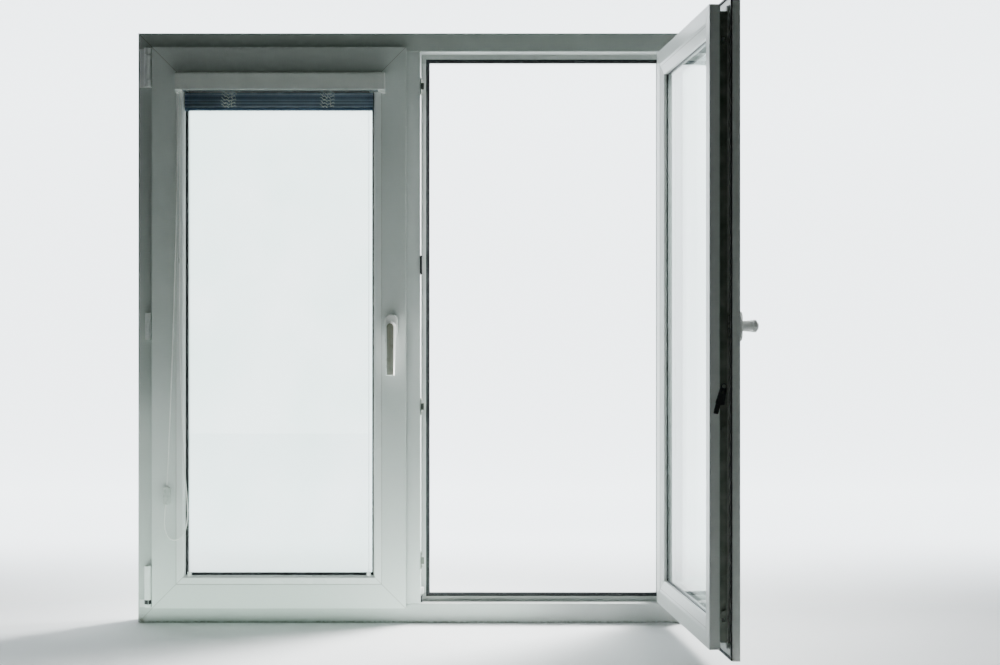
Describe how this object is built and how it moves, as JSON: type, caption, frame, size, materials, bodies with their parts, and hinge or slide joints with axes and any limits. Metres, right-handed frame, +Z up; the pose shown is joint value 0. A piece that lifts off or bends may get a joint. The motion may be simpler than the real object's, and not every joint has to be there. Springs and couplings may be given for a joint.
{
  "type": "casement window",
  "caption": "White casement window in its frame, with inward-opening sashes, lever handles, insulating glass and a raised slatted blind.",
  "frame": {"origin": "middle of the frame's bottom face, where it stands on the wall of the opening", "axes": "+X to the right seen from the room, +Y from the room to the outside, +Z up"},
  "size_m": [1.3773, 0.6803, 1.4],
  "materials": {
    "upvc": "satin white moulded profile",
    "bead_white": "satin white moulded bead",
    "seal_black": "matt black seal",
    "zinc": "dull bright zinc plate",
    "steel": "galvanised steel",
    "cast_zinc": "plain zinc casting",
    "hinge_white": "white powder coat",
    "lever_white": "white powder coat on a casting",
    "glass": "clear float glass",
    "spacer_metal": "plain bright bar",
    "block_plastic": "plain packing block",
    "black_plastic": "matt black moulding",
    "white_plastic": "white moulding",
    "clear_plastic": "milky clear moulding",
    "rail_white": "white enamel on a drawn rail",
    "slat_navy": "dark blue enamel on rolled strip",
    "cord_white": "braided white cord",
    "ladder_teal": "pale blue-green thread",
    "wire_clear": "drawn clear thread"
  },
  "bodies": {
    "frame": {"corner_keep": "black_plastic", "frame_steel": "steel", "hinge_pins": "steel", "keep_screws": "zinc", "left_keeps": "zinc", "lower_brackets": "hinge_white", "mullion": "upvc", "mullion_brackets": "cast_zinc", "outer_frame": "upvc", "right_keeps": "zinc", "run_up_block": "white_plastic", "side_clamps": "hinge_white", "stop_seals": "seal_black", "upper_brackets": "hinge_white", "vent_plate": "black_plastic"},
    "left_sash": {"blind_bottom_rail": "slat_navy", "blind_connector": "clear_plastic", "blind_cord": "cord_white", "blind_end_caps": "white_plastic", "blind_guide_wires": "wire_clear", "blind_headrail": "rail_white", "blind_joiner": "white_plastic", "blind_ladder_cords": "ladder_teal", "blind_slats": "slat_navy", "blind_tilt_rod": "steel", "blind_wire_clips": "white_plastic", "left_beads": "bead_white", "left_faceplate": "zinc", "left_gearbox": "cast_zinc", "left_lower_leaf": "hinge_white", "left_outer_pane": "glass", "left_room_pane": "glass", "left_rose": "lever_white", "left_sash": "upvc", "left_sash_steel": "steel", "left_seals": "seal_black", "left_setting_blocks": "block_plastic", "left_spacer": "spacer_metal", "left_upper_arm": "hinge_white"},
    "left_handle": {"left_lever": "lever_white", "left_pinion": "steel"},
    "left_rod": {"left_drive_rod": "zinc"},
    "right_sash": {"right_beads": "bead_white", "right_faceplate": "zinc", "right_gearbox": "cast_zinc", "right_lower_leaf": "hinge_white", "right_outer_pane": "glass", "right_room_pane": "glass", "right_rose": "lever_white", "right_sash": "upvc", "right_sash_steel": "steel", "right_seals": "seal_black", "right_setting_blocks": "block_plastic", "right_spacer": "spacer_metal", "right_upper_arm": "hinge_white"},
    "right_handle": {"right_lever": "lever_white", "right_pinion": "steel"},
    "right_rod": {"right_drive_rod": "zinc"},
    "right_blocker": {"right_blocker": "black_plastic"}
  },
  "joints": [
    {"name": "left_sash_turn", "type": "hinge", "parent": "frame", "child": "left_sash", "pos_m": [-0.624, -0.041, 0.7], "axis": [0, 0, -1], "range_deg": [0, 110]},
    {"name": "left_handle_turn", "type": "hinge", "parent": "left_sash", "child": "left_handle", "pos_m": [-0.047, -0.0495, 0.702], "axis": [0, 1, 0], "range_deg": [0, 90]},
    {"name": "left_rod_slide", "type": "slide", "parent": "left_sash", "child": "left_rod", "axis": [0, 0, -1], "range_m": [0, 0.0154]},
    {"name": "right_sash_turn", "type": "hinge", "parent": "frame", "child": "right_sash", "pos_m": [0.624, -0.041, 0.7], "axis": [0, 0, 1], "range_deg": [-95, 15]},
    {"name": "right_handle_turn", "type": "hinge", "parent": "right_sash", "child": "right_handle", "pos_m": [0.68276, -0.61506, 0.702], "axis": [0.9962, 0.0872, 0], "range_deg": [-90, 90]},
    {"name": "right_rod_slide", "type": "slide", "parent": "right_sash", "child": "right_rod", "axis": [0, 0, -1], "range_m": [-0.0154, 0.0154]},
    {"name": "right_blocker_press", "type": "hinge", "parent": "right_sash", "child": "right_blocker", "pos_m": [0.65526, -0.63353, 0.582], "axis": [0.0872, -0.9962, 0], "range_deg": [0, 13], "stiffness_Nm_per_rad": 0.05, "springref_deg": -5.73}
  ],
  "couplings": [
    {"joint": "left_rod_slide", "follows": "left_handle_turn", "m_per_rad": 0.0098},
    {"joint": "right_rod_slide", "follows": "right_handle_turn", "m_per_rad": 0.0098}
  ]
}
